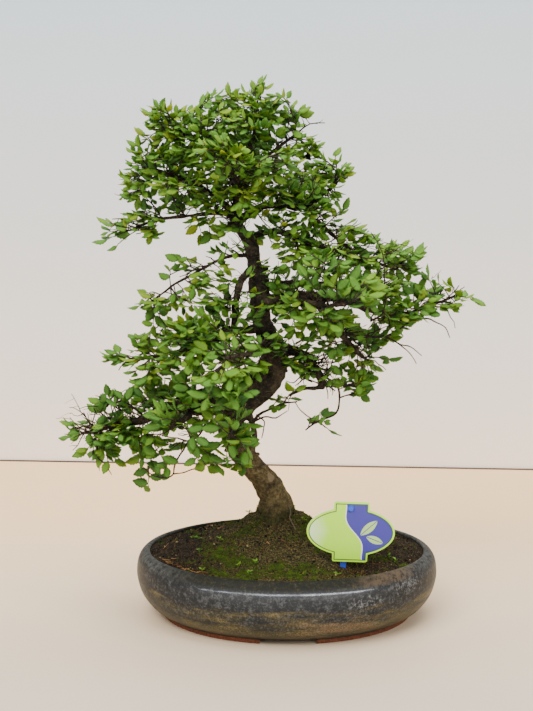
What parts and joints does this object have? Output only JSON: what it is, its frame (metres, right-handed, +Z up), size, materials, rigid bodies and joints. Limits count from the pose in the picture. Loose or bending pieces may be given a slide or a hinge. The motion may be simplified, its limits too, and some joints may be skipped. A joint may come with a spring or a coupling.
{
  "type": "bonsai tree in a pot",
  "caption": "Small-leaved bonsai with a curved trunk and spreading leafy limbs, growing from mounded soil in an oval glazed pot, with a plain plant label on a stake.",
  "frame": {"origin": "On the surface that the pot's feet stand on, under the middle of the whole part's box. The pot's own middle stands 17 mm along +X from it.", "axes": "+Z up along the tree. +X runs along the pot's long side, to the viewer's right in the picture. -Y faces the viewer."},
  "size_m": [0.427, 0.2272, 0.5179],
  "materials": {
    "pot_glaze": "dark slate glaze, glossy, mottled olive brown low down, with an unglazed terracotta foot",
    "screen_plastic": "dark green plastic mesh",
    "soil": "dark crumbly potting soil of baked clay grains, with moss",
    "bark": "grey-brown smooth bark with lenticels and lumps",
    "leaves": "fresh green leaves with a soft sheen, yellow-green where young",
    "label_plastic": "smooth printed plastic, lime green and violet",
    "stake_plastic": "moulded blue plastic"
  },
  "bodies": {
    "root": {"pot": "pot_glaze", "drain_screen_left": "screen_plastic", "drain_screen_right": "screen_plastic", "soil": "soil", "trunk_and_limbs": "bark", "label_plaque": "label_plastic", "label_stake": "stake_plastic", "foliage_crown_top": "leaves", "foliage_crown_top_left": "leaves", "foliage_crown_top_right": "leaves", "foliage_crown_lobe_left": "leaves", "foliage_crown_mid_left": "leaves", "foliage_crown_far_left": "leaves", "foliage_crown_tip_left": "leaves", "foliage_crown_front": "leaves", "foliage_crown_back": "leaves", "foliage_crown_right": "leaves", "foliage_crown_front_right": "leaves", "foliage_crown_back_right": "leaves", "foliage_crown_front_left": "leaves", "foliage_crown_back_left": "leaves", "foliage_crown_low_right": "leaves", "foliage_crown_low_front": "leaves", "foliage_right_upper": "leaves", "foliage_right_upper_far": "leaves", "foliage_right_far": "leaves", "foliage_right_tip": "leaves", "foliage_right_front_upper": "leaves", "foliage_right_front_mid": "leaves", "foliage_right_front_far": "leaves", "foliage_right_back_upper": "leaves", "foliage_right_back_far": "leaves", "foliage_right_low_front": "leaves", "foliage_right_low_far": "leaves", "foliage_right_low_back": "leaves", "foliage_right_low": "leaves", "foliage_hanging_shoot": "leaves", "foliage_low_right_shoot": "leaves", "foliage_left_thin_inner": "leaves", "foliage_left_thin_outer": "leaves", "foliage_left_upper": "leaves", "foliage_left_mid": "leaves", "foliage_left_mid_front": "leaves", "foliage_left_mid_back": "leaves", "foliage_left_low_mid": "leaves", "foliage_left_low_outer": "leaves", "foliage_left_low_tip": "leaves", "foliage_left_low_under": "leaves", "foliage_left_low_front": "leaves", "foliage_left_low_back": "leaves", "foliage_centre_front": "leaves", "foliage_low_front": "leaves", "foliage_left_low_bottom": "leaves", "foliage_left_low_edge": "leaves"}
  },
  "joints": []
}
